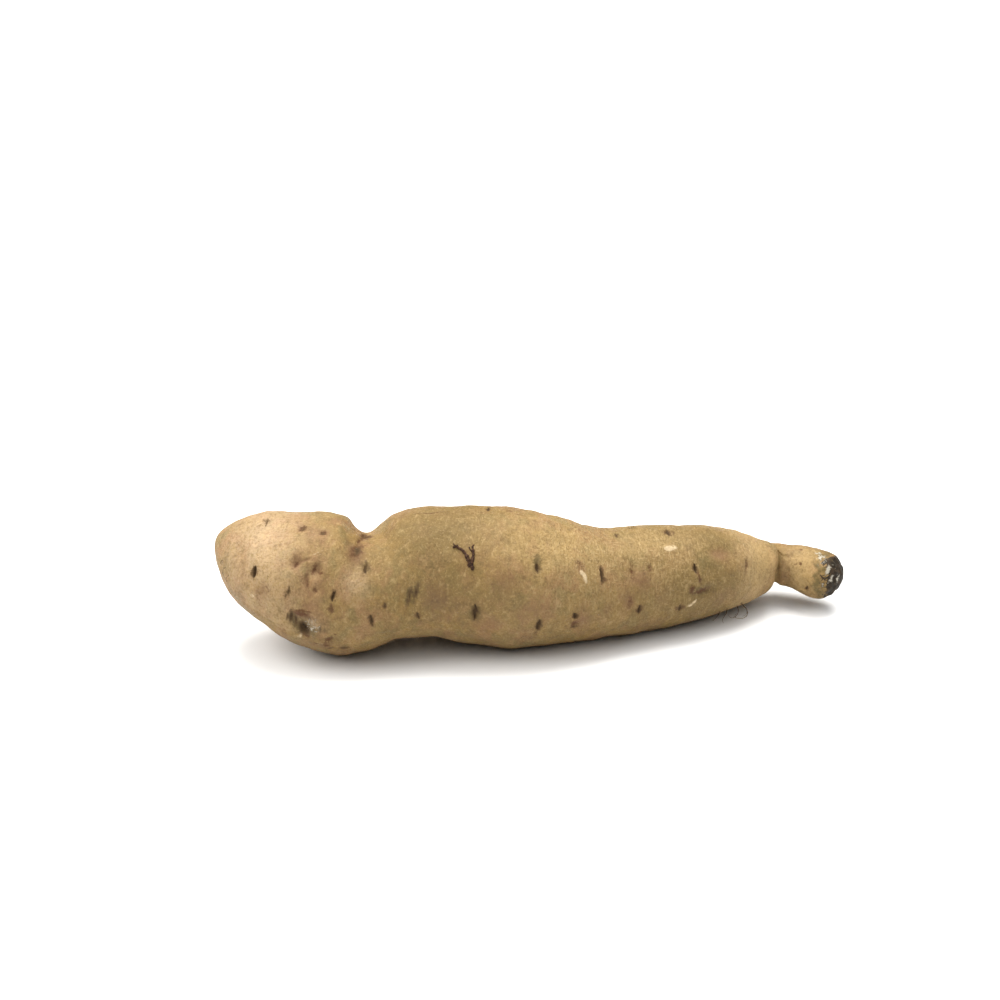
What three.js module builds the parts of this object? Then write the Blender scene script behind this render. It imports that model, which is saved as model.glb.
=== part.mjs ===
// A sweet potato: the swollen storage root of Ipomoea batatas, as dug, lying on a table.
// It grew as one piece, so it is one closed solid. Millimetres, +Z up, origin on the table
// under the middle of the root. +X runs along the root, from the fat bent lobe at the crown
// to the small curled knob where the tail was snapped off. The root bows towards the front,
// which is -Y, and both its ends turn back.
//
// The skin is drawn over rings. Each ring is an oval square to a bent centreline, and the
// stations say where the centreline runs and how thick the root is there. Swellings and dents
// are then pressed into the skin, and what would sink into the table is flattened.

import * as THREE from "three";

// Stations along the root. x, y, z: the centre; up: half height; side: half width.
const STATIONS = [
  { x: -117, y: 14, z: 39, up: 11, side: 12 },
  { x: -110, y: 12, z: 37.4, up: 15.6, side: 16.5 },
  { x: -101, y: 8.5, z: 34.5, up: 18.5, side: 20 },
  { x: -90, y: 4, z: 31.5, up: 22, side: 23.5 },
  { x: -80, y: 1, z: 28.5, up: 25.5, side: 25.5 },
  { x: -69, y: -1, z: 26.4, up: 27.3, side: 26 },
  { x: -60, y: -1.6, z: 27.2, up: 25, side: 25 },
  { x: -50, y: -1, z: 29, up: 23.8, side: 25 },
  { x: -36, y: 1, z: 29, up: 24.6, side: 26 },
  { x: -19, y: 1, z: 27.1, up: 26.1, side: 27 },
  { x: -3, y: -1, z: 25.7, up: 26.7, side: 26 },
  { x: 13, y: 0, z: 23.3, up: 24.2, side: 24 },
  { x: 29, y: 2.5, z: 20.7, up: 21.5, side: 22 },
  { x: 46, y: 6.5, z: 19.7, up: 20.6, side: 21 },
  { x: 63, y: 10.5, z: 18.9, up: 19.4, side: 20 },
  { x: 77, y: 14, z: 18.1, up: 17.6, side: 18 },
  { x: 88, y: 17, z: 17, up: 14.8, side: 15 },
  { x: 97, y: 20.5, z: 16, up: 11.3, side: 11.5 },
  { x: 103, y: 22.5, z: 15.4, up: 8.4, side: 8.5 },
  { x: 109, y: 21.5, z: 15.4, up: 8.4, side: 8.5 },
  { x: 116, y: 17.5, z: 15, up: 9.3, side: 9.7 },
  { x: 122, y: 12.8, z: 14.2, up: 9.5, side: 9.8 },
  { x: 128, y: 7, z: 13.2, up: 8.2, side: 8.8 },
];

// Swellings (height above 0) and dents (below 0) in the skin. x: place along the root;
// around: degrees from the top towards the front; long and wide: reach along and across;
// lean: degrees that the long reach is turned towards the front; height: how far out.
const PRESSINGS = [
  { name: "fold behind the lobe", x: -54, around: -8, long: 5.5, wide: 26, lean: -10, height: -5 },
  { name: "slope into the fold", x: -61, around: -8, long: 10, wide: 26, lean: -10, height: -3.5 },
  { name: "valley in front of the lobe", x: -56, around: 66, long: 8, wide: 15, lean: -8, height: -1.6 },
  { name: "hollow of the lobe", x: -75, around: 58, long: 6, wide: 13, lean: 12, height: -1.1 },
  { name: "cheek of the lobe", x: -93, around: 66, long: 13, wide: 14, lean: 0, height: 0.9 },
  { name: "chin of the lobe", x: -79, around: 118, long: 8, wide: 7, lean: 0, height: 0.9 },
  { name: "hollow over the waist", x: -38, around: 78, long: 8, wide: 12, lean: 20, height: -0.8 },
  { name: "belly", x: -6, around: 72, long: 18, wide: 14, lean: 0, height: 0.7 },
  { name: "hollow beyond the hump", x: 35, around: 40, long: 8, wide: 18, lean: -14, height: -0.9 },
  { name: "swelling near the tail", x: 66, around: 64, long: 14, wide: 12, lean: 0, height: 0.6 },
  { name: "shoulder over the knob", x: 98, around: 80, long: 4, wide: 14, lean: -9, height: 0.8 },
  { name: "crease round the knob", x: 104.5, around: 90, long: 1.6, wide: 16, lean: -9, height: -1.2 },
  { name: "back of the lobe", x: -88, around: 268, long: 14, wide: 16, lean: 0, height: 1.1 },
  { name: "hollow at the back", x: -52, around: 276, long: 10, wide: 18, lean: 12, height: -2.2 },
  { name: "knuckle at the back", x: -14, around: 292, long: 12, wide: 12, lean: 0, height: 0.9 },
  { name: "long hollow at the back", x: 24, around: 262, long: 16, wide: 9, lean: 8, height: -1 },
  { name: "swelling at the back", x: 62, around: 284, long: 13, wide: 11, lean: 0, height: 0.8 },
];

// The crown and the tail close in rounded caps of these lengths along the centreline.
const CROWN_CAP = 22;
const TAIL_CAP = 8;

// Facets: the sides round each ring, and the gaps between rings on the body, from the knob's
// shoulder to the tail, and at the two ends.
const SIDES = 48;
const BODY_STEP = 3.3;
const KNOB_STEP = 1.3;
const END_STEP = 0.6;
const KNOB_SHOULDER_X = 95;

// A ring faces the way the root runs over this share of its length, so that rings never cross.
const FACING_SPAN = 0.05;

const UP = new THREE.Vector3(0, 0, 1);

const centreline = new THREE.CatmullRomCurve3(
  STATIONS.map(({ x, y, z }) => new THREE.Vector3(x, y, z)),
);
const rootLength = centreline.getLength();

// A smooth run through one column of the stations, read by the share of the way along them.
function along(column) {
  const values = STATIONS.map((station, i) => new THREE.Vector2(i, station[column]));
  const curve = new THREE.SplineCurve(values);
  return (share) => curve.getPoint(share).y;
}

const halfHeight = along("up");
const halfWidth = along("side");

// The share of the full thickness that a rounded cap leaves at a distance from the root's end.
function capShare(distance, length) {
  const into = THREE.MathUtils.clamp(distance / length, 0, 1);
  return Math.sqrt(1 - (1 - into) ** 2);
}

// How far the pressings move the skin at a place along the root and around it.
function pressed(x, around, radius) {
  let height = 0;
  for (const press of PRESSINGS) {
    const off = around - THREE.MathUtils.degToRad(press.around);
    const turn = Math.atan2(Math.sin(off), Math.cos(off));
    const lean = THREE.MathUtils.degToRad(press.lean);
    const [u, v] = [x - press.x, turn * radius];
    const alongReach = (u * Math.cos(lean) + v * Math.sin(lean)) / press.long;
    const acrossReach = (v * Math.cos(lean) - u * Math.sin(lean)) / press.wide;
    height += press.height * Math.exp(-(alongReach ** 2) - acrossReach ** 2);
  }
  return height;
}

// One ring of the skin, at a distance along the centreline.
function ringAt(distance) {
  const share = centreline.getUtoTmapping(distance / rootLength);
  const centre = centreline.getPoint(share);
  const ahead = centreline.getPoint(Math.min(share + FACING_SPAN, 1));
  const behind = centreline.getPoint(Math.max(share - FACING_SPAN, 0));
  const facing = ahead.sub(behind).normalize();
  const side = new THREE.Vector3().crossVectors(UP, facing).normalize();
  const up = new THREE.Vector3().crossVectors(facing, side);
  const cap = capShare(distance, CROWN_CAP) * capShare(rootLength - distance, TAIL_CAP);
  const [high, wide] = [halfHeight(share), halfWidth(share)];
  const ring = [];
  for (let k = 0; k < SIDES; k += 1) {
    const around = (2 * Math.PI * k) / SIDES;
    const out = pressed(centre.x, around, (high + wide) / 2);
    const point = centre
      .clone()
      .addScaledVector(up, Math.cos(around) * (high + out) * cap)
      .addScaledVector(side, -Math.sin(around) * (wide + out) * cap);
    ring.push(point);
  }
  return ring;
}

// Distances of the rings along the centreline: close together at the ends and on the knob.
function ringDistances() {
  const distances = [];
  let distance = END_STEP;
  while (distance < rootLength - END_STEP / 2) {
    distances.push(distance);
    const x = centreline.getPointAt(distance / rootLength).x;
    const step = x > KNOB_SHOULDER_X ? KNOB_STEP : BODY_STEP;
    const toEnd = Math.min(distance / CROWN_CAP, (rootLength - distance) / TAIL_CAP, 1);
    distance += Math.max(step * Math.sqrt(toEnd), END_STEP);
  }
  return distances;
}

// The skin as a closed surface, with a single point at each end.
function skinGeometry() {
  const rings = ringDistances().map(ringAt);
  const points = [centreline.getPoint(0), ...rings.flat(), centreline.getPoint(1)];
  const last = points.length - 1;
  const at = (ring, k) => 1 + ring * SIDES + (k % SIDES);
  const triangles = [];
  for (let k = 0; k < SIDES; k += 1) {
    triangles.push(0, at(0, k + 1), at(0, k));
    triangles.push(last, at(rings.length - 1, k), at(rings.length - 1, k + 1));
    for (let ring = 1; ring < rings.length; ring += 1) {
      triangles.push(at(ring - 1, k), at(ring, k + 1), at(ring, k));
      triangles.push(at(ring - 1, k), at(ring - 1, k + 1), at(ring, k + 1));
    }
  }
  for (const point of points) {
    point.z = Math.max(point.z, 0);
  }
  const geometry = new THREE.BufferGeometry().setFromPoints(points);
  geometry.setIndex(triangles);
  return geometry;
}

// Moves a geometry so that the middle of its box is over the origin and it stands on the table.
function standOnTable(geometry) {
  geometry.computeBoundingBox();
  const { min, max } = geometry.boundingBox;
  return geometry.translate(-(min.x + max.x) / 2, -(min.y + max.y) / 2, -min.z);
}

const storageRoot = new THREE.Mesh(
  standOnTable(skinGeometry()),
  new THREE.MeshStandardMaterial({ color: 0xb9996b, roughness: 0.85, metalness: 0 }),
);
storageRoot.name = "storage_root";

const sweetPotato = new THREE.Group();
sweetPotato.add(storageRoot);

export default sweetPotato;
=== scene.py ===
# %% [markdown]
# A sweet potato is a storage root: one swollen, bent, lumpy piece of flesh in a thin tan skin.
# This lesson dresses a plain solid model of it in a real skin. The solid gives the size and the
# big shape, so nothing here moves or scales it: every piece is made in metres, in its frame.

# %% Load the solid model
import math

import bmesh
import bpy
import numpy as np
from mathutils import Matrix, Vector, noise
from mathutils.bvhtree import BVHTree
from mathutils.geometry import interpolate_bezier


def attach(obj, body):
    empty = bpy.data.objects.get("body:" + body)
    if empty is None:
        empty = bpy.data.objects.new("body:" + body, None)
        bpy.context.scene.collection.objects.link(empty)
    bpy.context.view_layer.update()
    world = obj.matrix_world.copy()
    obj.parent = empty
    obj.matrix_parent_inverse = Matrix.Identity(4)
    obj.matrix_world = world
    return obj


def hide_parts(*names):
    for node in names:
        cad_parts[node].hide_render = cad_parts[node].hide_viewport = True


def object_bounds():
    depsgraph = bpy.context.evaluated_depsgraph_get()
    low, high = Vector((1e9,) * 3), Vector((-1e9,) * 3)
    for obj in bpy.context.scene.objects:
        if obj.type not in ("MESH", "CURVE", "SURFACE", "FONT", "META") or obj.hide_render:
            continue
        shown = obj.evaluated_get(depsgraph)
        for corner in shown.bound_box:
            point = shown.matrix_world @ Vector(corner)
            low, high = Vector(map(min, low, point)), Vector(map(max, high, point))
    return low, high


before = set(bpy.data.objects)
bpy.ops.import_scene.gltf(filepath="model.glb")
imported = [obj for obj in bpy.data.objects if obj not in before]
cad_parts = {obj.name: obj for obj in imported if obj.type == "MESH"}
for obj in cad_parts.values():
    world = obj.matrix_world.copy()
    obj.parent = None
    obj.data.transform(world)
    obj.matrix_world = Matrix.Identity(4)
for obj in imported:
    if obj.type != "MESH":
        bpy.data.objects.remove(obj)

MM = 0.001
SOLID_BOX = [list(corner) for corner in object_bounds()]
print("solid model, mm:", [[round(value / MM, 1) for value in corner] for corner in SOLID_BOX])

# %% [markdown]
# The camera comes first, because every later choice is judged through it. It stands in front of
# the root and a little to its left, and looks down at it, as a person at a table does. Its place
# is worked out from two angles and a distance, so each can be changed without the others. The
# Standard view shows the colours as they are mixed, without a film look over them.

# %% The camera
LOOK_AT = Vector((-9.67, 69.97, 26.0)) * MM
CAMERA_TURN = math.radians(-5)
CAMERA_HEIGHT = math.radians(24)
CAMERA_DISTANCE = 0.563
CAMERA_LENS = 46.8


def look_from(turn, height):
    """The way from the subject to a camera or lamp that is turned round it and raised."""
    level = math.cos(height)
    return Vector((math.sin(turn) * level, -math.cos(turn) * level, math.sin(height)))


def add_object(name, data):
    made = bpy.data.objects.new(name, data)
    bpy.context.scene.collection.objects.link(made)
    return made


camera = add_object("camera", bpy.data.cameras.new("camera"))
camera_way = look_from(CAMERA_TURN, CAMERA_HEIGHT)
camera.location = LOOK_AT + camera_way * CAMERA_DISTANCE
camera.rotation_euler = (-camera_way).to_track_quat("-Z", "Y").to_euler()
camera.data.lens = CAMERA_LENS
camera.data.sensor_width = 36
camera.data.clip_start = 0.01
camera.data.clip_end = 100
bpy.context.scene.camera = camera
bpy.context.scene.view_settings.view_transform = "Standard"
print("camera at, m:", [round(value, 3) for value in camera.location])

# %% [markdown]
# Two windows light the root. Each is a sun lamp with a wide angle: its shadows are soft, and it
# lights the white floor evenly, which an area lamp can't. One stands high behind the root and
# shapes it from above. The other shines from the left, to show the end of the lobe.

# %% The two windows
def add_sun(name, turn, height, strength, width, colour):
    """A soft sun lamp. width is how wide it looks in the sky, in degrees."""
    lamp = add_object(name, bpy.data.lights.new(name, "SUN"))
    way = look_from(math.radians(turn), math.radians(height))
    lamp.rotation_euler = way.to_track_quat("Z", "Y").to_euler()
    lamp.data.energy = strength
    lamp.data.angle = math.radians(width)
    lamp.data.color = colour


add_sun("soft_window", turn=165, height=73, strength=3.4, width=38, colour=(1.0, 0.99, 0.96))
add_sun("side_window", turn=-88, height=42, strength=2.1, width=44, colour=(1.0, 0.985, 0.95))
print("lamps:", [lamp.name for lamp in bpy.data.lights])

# %% [markdown]
# Light and finishes are made of nodes. A shader written out node by node is long and hard to
# read, so a "desk" stands for a node tree and adds a node in one line. A socket or a plain number
# may go into any input, and sizes are given in millimetres.

# %% A desk for nodes
class Desk:
    """A node tree with short ways to add to it. A number or a socket may go into any input."""

    def __init__(self, tree):
        self.tree = tree

    def feed(self, socket, value):
        """Links a socket to another, or sets it to a number."""
        if isinstance(value, bpy.types.NodeSocket):
            self.tree.links.new(value, socket)
        elif value is not None:
            socket.default_value = value

    def add(self, kind, settings=(), **inputs):
        node = self.tree.nodes.new(kind)
        for name, value in settings:
            setattr(node, name, value)
        for name, value in inputs.items():
            self.feed(node.inputs[name.replace("_", " ")], value)
        return node

    def math(self, operation, first, second=None, third=None):
        node = self.add("ShaderNodeMath", [("operation", operation)])
        for socket, value in zip(node.inputs, (first, second, third)):
            self.feed(socket, value)
        return node.outputs[0]

    def step(self, value, start, end):
        """0 below start, 1 above end, and a smooth rise between."""
        node = self.add("ShaderNodeMapRange", [("interpolation_type", "SMOOTHSTEP")])
        for name, number in (("Value", value), ("From Min", start), ("From Max", end)):
            self.feed(node.inputs[name], number)
        return node.outputs["Result"]

    def mix(self, amount, first, second):
        """The first colour turned into the second by an amount from 0 to 1."""
        node = self.add("ShaderNodeMix", [("data_type", "RGBA")])
        self.feed(node.inputs["Factor"], amount)
        for index, colour in ((6, first), (7, second)):
            self.feed(node.inputs[index], (*colour, 1) if isinstance(colour, tuple) else colour)
        return node.outputs[2]

    def place(self, size, turn=(0, 0, 0)):
        """Object coordinates in units of size, which is in millimetres, along each axis."""
        here = self.add("ShaderNodeTexCoord").outputs["Object"]
        mapping = self.add("ShaderNodeMapping", Vector=here)
        mapping.inputs["Rotation"].default_value = [math.radians(angle) for angle in turn]
        mapping.inputs["Scale"].default_value = [1 / (part * MM) for part in size]
        return mapping.outputs[0]

    def noise(self, where, scale=1.0, detail=3.0, rough=0.55):
        node = self.add("ShaderNodeTexNoise", Vector=where, Scale=scale, Detail=detail, Roughness=rough)
        return node.outputs["Fac"]

    def stained(self, name):
        """How much of a stain the skin holds, as laid on its points."""
        return self.add("ShaderNodeAttribute", [("attribute_name", name)]).outputs["Fac"]


print("desk tools:", [tool for tool in vars(Desk) if not tool.startswith("_")])

# %% [markdown]
# The room fills the shadows. A white room gives most of its light from the ceiling and none from
# low down, so the world's light fades with height, and the root's underside stays darker than its
# top. The camera sees plain white instead: Light Path tells its rays from all others.

# %% The room's light
CEILING_LIGHT = 2.5
WALL_LIGHT = 0.0
WALL_TOP = 0.42
BACKDROP_LIGHT = 1.0
WHITE = (1, 1, 1, 1)

room = bpy.data.worlds.new("white_room")
room.use_nodes = True
room.node_tree.nodes.clear()
bpy.context.scene.world = room
desk = Desk(room.node_tree)
way = desk.add("ShaderNodeTexCoord").outputs["Generated"]
upward = desk.add("ShaderNodeSeparateXYZ", Vector=way).outputs["Z"]
brightness = desk.add(
    "ShaderNodeMapRange", Value=upward, From_Min=WALL_TOP, To_Min=WALL_LIGHT, To_Max=CEILING_LIGHT
)
room_light = desk.add("ShaderNodeBackground", Color=WHITE, Strength=brightness.outputs[0])
backdrop = desk.add("ShaderNodeBackground", Color=WHITE, Strength=BACKDROP_LIGHT)
camera_ray = desk.add("ShaderNodeLightPath").outputs["Is Camera Ray"]
choice = desk.add("ShaderNodeMixShader")
for socket, value in zip(choice.inputs, (camera_ray, room_light.outputs[0], backdrop.outputs[0])):
    desk.feed(socket, value)
desk.add("ShaderNodeOutputWorld", Surface=choice.outputs[0])
print("nodes in the room's light:", len(room.node_tree.nodes))

# %% [markdown] The root lies on one big square of white paper.

# %% The white sheet
SHEET_HALF = 12.0
SHEET_WHITE = 0.85

corners = [(x * SHEET_HALF, y * SHEET_HALF, 0) for x, y in ((-1, -1), (1, -1), (1, 1), (-1, 1))]
sheet_mesh = bpy.data.meshes.new("white_sheet")
sheet_mesh.from_pydata(corners, [], [(0, 1, 2, 3)])
white_sheet = add_object("white_sheet", sheet_mesh)
sheet_paint = bpy.data.materials.new("white_sheet")
sheet_paint.use_nodes = True
sheet_surface = sheet_paint.node_tree.nodes["Principled BSDF"]
sheet_surface.inputs["Base Color"].default_value = (SHEET_WHITE, SHEET_WHITE, SHEET_WHITE, 1)
sheet_surface.inputs["Roughness"].default_value = 0.7
sheet_surface.inputs["Specular IOR Level"].default_value = 0.2
sheet_mesh.materials.append(sheet_paint)
print("sheet, m:", 2 * SHEET_HALF)

# %% [markdown]
# The skin starts as a copy of the solid's surface. The solid is faceted, so its triangles are
# first paired back into four-sided faces, and a Catmull-Clark subdivision then rounds them.
# A remesh would round it too, but it would lose the neat rings that run round the root.

# %% A smooth skin over the solid
NODE = "storage_root"
SKIN_LEVELS = 2


def four_sided_copy(source):
    """A mesh like the source's, welded, with its triangles paired into four-sided faces."""
    work = bmesh.new()
    work.from_mesh(source.data)
    bmesh.ops.remove_doubles(work, verts=work.verts, dist=0.001 * MM)
    bmesh.ops.join_triangles(
        work, faces=work.faces, angle_face_threshold=math.pi, angle_shape_threshold=math.pi
    )
    made = bpy.data.meshes.new("skin_cage")
    work.to_mesh(made)
    work.free()
    return made


def rounded(mesh, levels):
    """The mesh after a Catmull-Clark subdivision."""
    carrier = add_object("carrier", mesh)
    subdivision = carrier.modifiers.new("round", "SUBSURF")
    subdivision.levels = levels
    subdivision.render_levels = levels
    seen = carrier.evaluated_get(bpy.context.evaluated_depsgraph_get())
    made = bpy.data.meshes.new_from_object(seen)
    bpy.data.objects.remove(carrier)
    return made


cage = four_sided_copy(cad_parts[NODE])
smooth_skin = rounded(cage, SKIN_LEVELS)
print("faces of the cage and the smooth skin:", len(cage.polygons), len(smooth_skin.polygons))

# %% [markdown]
# A mark on the skin is placed by two numbers: its x along the root, in millimetres, and how far
# round it is, in degrees from the top towards the front (90 is the front, 180 the underside, 270
# the back). A line from the middle of the root outwards finds the point. That keeps
# the lists of marks short and easy to change, with no height or depth to work out.

# %% Finding a place on the skin
SPINE_STEPS = 60
SPINE_INSET = 3.0
SLICE_HALF = 2.5


def points_of(mesh):
    """The mesh's vertices as an array, in millimetres."""
    flat = np.empty(len(mesh.vertices) * 3)
    mesh.vertices.foreach_get("co", flat)
    return flat.reshape(-1, 3) / MM


cage_points = points_of(cage)
spine_x = np.linspace(
    cage_points[:, 0].min() + SPINE_INSET, cage_points[:, 0].max() - SPINE_INSET, SPINE_STEPS
)
spine_y = []
spine_z = []
for x in spine_x:
    ring = cage_points[np.abs(cage_points[:, 0] - x) < SLICE_HALF]
    spine_y.append((ring[:, 1].min() + ring[:, 1].max()) / 2)
    spine_z.append((ring[:, 2].min() + ring[:, 2].max()) / 2)

smooth_points = points_of(smooth_skin)
skin_tree = BVHTree.FromPolygons(
    [Vector(point) for point in smooth_points], [list(face.vertices) for face in smooth_skin.polygons]
)


def spot(x, around):
    """The point of the skin at this place, in millimetres, and the way out of the skin there."""
    middle = Vector((x, np.interp(x, spine_x, spine_y), np.interp(x, spine_x, spine_z)))
    turn = math.radians(around)
    point, normal, _, _ = skin_tree.ray_cast(middle, Vector((0, -math.sin(turn), math.cos(turn))))
    return point, normal


print("a point on the belly, mm:", [round(value, 1) for value in spot(0, 90)[0]])

# %% [markdown]
# The eyes are the slits where fine side roots grew. Each is a lens-shaped groove a few
# millimetres long that runs round the root, dark and corky inside, with a slightly raised lip.
# They could be painted on, but they are what the eye reads first, so each one is cut as real
# shape. The list gives, for each, where it is, how long and wide, how far its top leans
# towards the tail, how deep it is, and how much dark cork, rust and moss green it holds.

# %% The eyes
# x, around, long, wide, lean, depth, cork, rust, moss
FRONT_EYES = [
    (-106.5, 66, 4.6, 1.7, 18, 1.0, 0.85, 0.5, 0.1),
    (-94.0, 73, 4.2, 1.0, 16, 0.45, 0.5, 0.3, 0.6),
    (-95.2, 79, 3.2, 0.9, 14, 0.35, 0.3, 0.3, 0.4),
    (-78.2, 73.5, 4.6, 1.3, 18, 0.8, 0.85, 0.4, 0.3),
    (-79.2, 84, 4.2, 1.1, 2, 0.3, 0.3, 1.0, 0.0),
    (-66.3, 44, 4.8, 1.7, 10, 0.6, 0.5, 0.5, 0.8),
    (-65.0, 91, 5.2, 1.5, -8, 0.8, 0.75, 0.4, 0.3),
    (-59.8, 83, 3.0, 1.1, -6, 0.5, 0.6, 0.6, 0.0),
    (-48.0, 101, 3.4, 1.3, -14, 0.5, 0.6, 0.5, 0.3),
    (-27.3, 94, 7.2, 2.2, 2, 0.9, 0.72, 0.3, 1.0),
    (-4.2, 49, 4.6, 1.3, 4, 0.3, 0.2, 0.1, 1.0),
    (-4.3, 55, 3.6, 1.5, 2, 0.6, 0.7, 0.3, 0.7),
    (-4.0, 106.5, 6.2, 1.8, 10, 0.9, 0.85, 0.5, 0.3),
    (-4.9, 117, 3.4, 0.8, 8, 0.3, 0.4, 0.5, 0.2),
    (9.7, 97, 2.4, 2.0, 0, 0.8, 0.9, 0.9, 0.0),
    (20.5, 57, 7.6, 1.5, -3, 0.7, 0.6, 0.9, 0.1),
    (58.0, 58, 3.8, 1.3, -6, 0.7, 0.85, 0.5, 0.5),
    (35.3, 96, 3.8, 1.5, 6, 0.7, 0.75, 0.8, 0.0),
    (52.0, 101, 3.4, 2.1, 0, 0.55, 0.6, 0.8, 0.2),
    (80.0, 58, 5.6, 0.8, 0, 0.3, 0.22, 0.7, 0.1),
    (107.5, 108, 3.0, 1.2, 6, 0.4, 0.45, 0.9, 0.0),
]
TOP_EYES = [
    (-102.5, 4, 4.6, 0.9, 12, 0.4, 0.5, 0.5, 0.4),
    (-103.4, 1, 2.6, 0.7, -40, 0.3, 0.45, 0.5, 0.3),
    (29.0, 4, 3.6, 1.3, 0, 0.5, 0.5, 0.3, 0.7),
    (50.0, 7, 4.6, 2.6, 0, 0.6, 0.5, 0.8, 0.5),
    (-20.0, 352, 4.4, 1.3, 6, 0.5, 0.7, 0.4, 0.3),
]
BACK_EYES = [
    (-104.0, 250, 4.2, 1.5, -10, 0.7, 0.8, 0.5, 0.1),
    (-92.0, 300, 5.0, 1.6, 8, 0.8, 0.9, 0.4, 0.2),
    (-77.0, 262, 5.4, 1.7, 4, 0.8, 0.9, 0.3, 0.4),
    (-48.0, 318, 4.6, 1.4, -6, 0.6, 0.8, 0.4, 0.3),
    (-37.0, 268, 6.0, 1.8, 5, 0.8, 1.0, 0.3, 0.3),
    (-16.0, 303, 4.2, 1.5, -8, 0.6, 0.7, 0.6, 0.1),
    (-6.0, 246, 5.2, 1.6, 3, 0.7, 0.9, 0.4, 0.2),
    (14.0, 285, 6.4, 1.6, -4, 0.7, 0.85, 0.4, 0.3),
    (26.0, 330, 4.0, 1.3, 4, 0.5, 0.6, 0.4, 0.6),
    (39.0, 256, 4.6, 1.7, 6, 0.7, 0.9, 0.5, 0.1),
    (57.0, 296, 5.0, 1.5, -5, 0.6, 0.8, 0.4, 0.3),
    (72.0, 262, 3.6, 1.3, 2, 0.5, 0.7, 0.6, 0.1),
    (84.0, 312, 3.4, 1.2, 0, 0.4, 0.6, 0.5, 0.2),
    (104.0, 285, 2.6, 1.1, 8, 0.35, 0.6, 0.6, 0.0),
]
UNDER_EYES = [
    (-97.0, 160, 4.6, 1.5, 6, 0.7, 0.9, 0.4, 0.1),
    (-52.0, 184, 5.0, 1.6, -5, 0.7, 0.9, 0.3, 0.3),
    (-22.0, 222, 4.4, 1.5, 4, 0.6, 0.8, 0.5, 0.1),
    (12.0, 150, 4.8, 1.5, -4, 0.6, 0.8, 0.5, 0.1),
    (30.0, 212, 4.2, 1.5, 3, 0.6, 0.8, 0.4, 0.3),
    (74.0, 170, 3.8, 1.3, -3, 0.5, 0.8, 0.4, 0.2),
]
EYES = FRONT_EYES + TOP_EYES + BACK_EYES + UNDER_EYES
print("eyes to cut:", len(EYES))
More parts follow.
